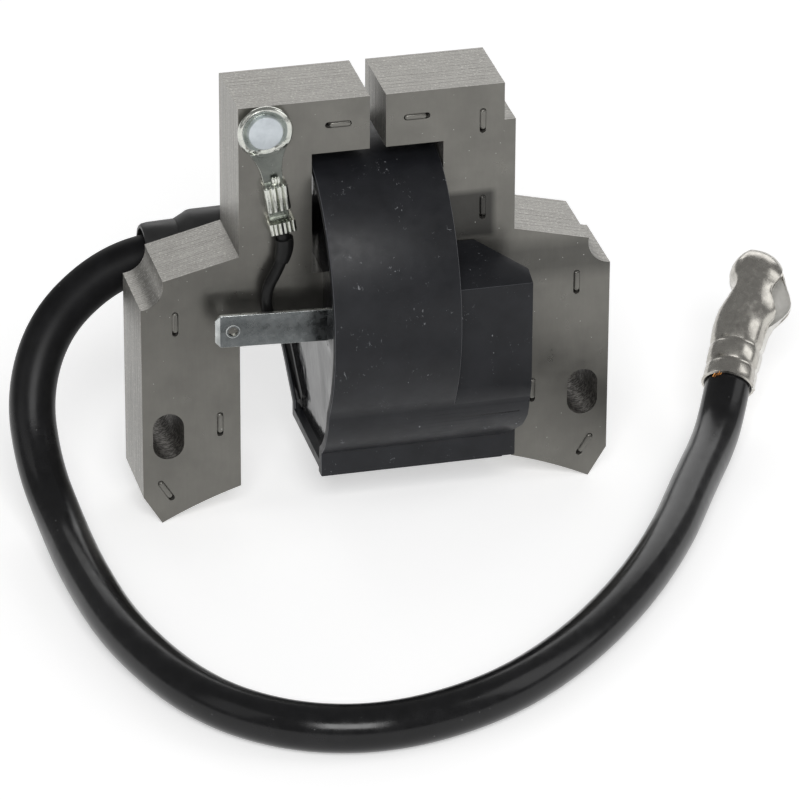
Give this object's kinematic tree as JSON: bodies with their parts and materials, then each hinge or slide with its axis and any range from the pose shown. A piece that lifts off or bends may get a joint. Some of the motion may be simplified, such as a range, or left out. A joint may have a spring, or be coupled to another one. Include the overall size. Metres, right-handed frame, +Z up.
{
  "type": "ignition coil",
  "caption": "Small-engine magneto ignition coil: laminated two-leg core, moulded coil and trigger housing, stop blade, ground lead, and a plug lead with a metal terminal.",
  "frame": {"origin": "centre of the core between its two legs, on the middle plane of the lamination stack, level with the tips of the pole shoes", "axes": "+X across the two legs, towards the trigger module and the plug terminal; +Y towards the rear, where the lead leaves; +Z up, away from the flywheel"},
  "size_m": [0.1416, 0.1188, 0.077],
  "materials": {
    "core_laminations": "punched electrical steel with a thin oxide coat, dull",
    "housing_plastic": "black glass-filled moulding, satin, with light scuffs",
    "potting_resin": "black cast resin, glossy where it set level",
    "bobbin_plastic": "natural nylon",
    "enamelled_copper": "enamelled copper winding wire",
    "board_laminate": "glass-epoxy circuit board",
    "component_epoxy": "black moulded epoxy",
    "resistor_lacquer": "beige lacquer",
    "tinned_steel": "dull tin plate, handled and scuffed",
    "bright_tin": "bright tin plate, slightly yellow",
    "rivet_metal": "plain bright rivet head",
    "wire_insulation": "black wire insulation",
    "copper_strand": "bare copper strands",
    "boot_rubber": "black moulded rubber",
    "contact_brass": "plain brass",
    "lead_rubber": "glossy black ignition-cable jacket",
    "nickel_plate": "bright nickel plate on pressed steel"
  },
  "bodies": {
    "root": {"left_pole_stack": "core_laminations", "right_pole_stack": "core_laminations", "core_bar": "core_laminations", "coil_housing": "housing_plastic", "coil_potting": "potting_resin", "module_potting": "potting_resin", "primary_bobbin": "bobbin_plastic", "primary_winding": "enamelled_copper", "secondary_bobbin": "bobbin_plastic", "secondary_winding": "enamelled_copper", "trigger_board": "board_laminate", "power_transistor": "component_epoxy", "driver_transistor": "component_epoxy", "bias_resistors": "resistor_lacquer", "stop_blade": "tinned_steel", "stop_link_wire": "copper_strand", "ground_ring": "bright_tin", "ground_rivet": "rivet_metal", "ground_wire_jacket": "wire_insulation", "ground_wire_strands": "copper_strand", "ground_wire_sleeve": "wire_insulation", "lead_boot": "boot_rubber", "lead_sleeve": "boot_rubber", "lead_contact": "contact_brass", "lead_jacket": "lead_rubber", "lead_conductor": "copper_strand", "plug_terminal_shell": "nickel_plate", "plug_terminal_spring": "nickel_plate", "plug_contact": "contact_brass", "plug_terminal_strands": "copper_strand"}
  },
  "joints": []
}
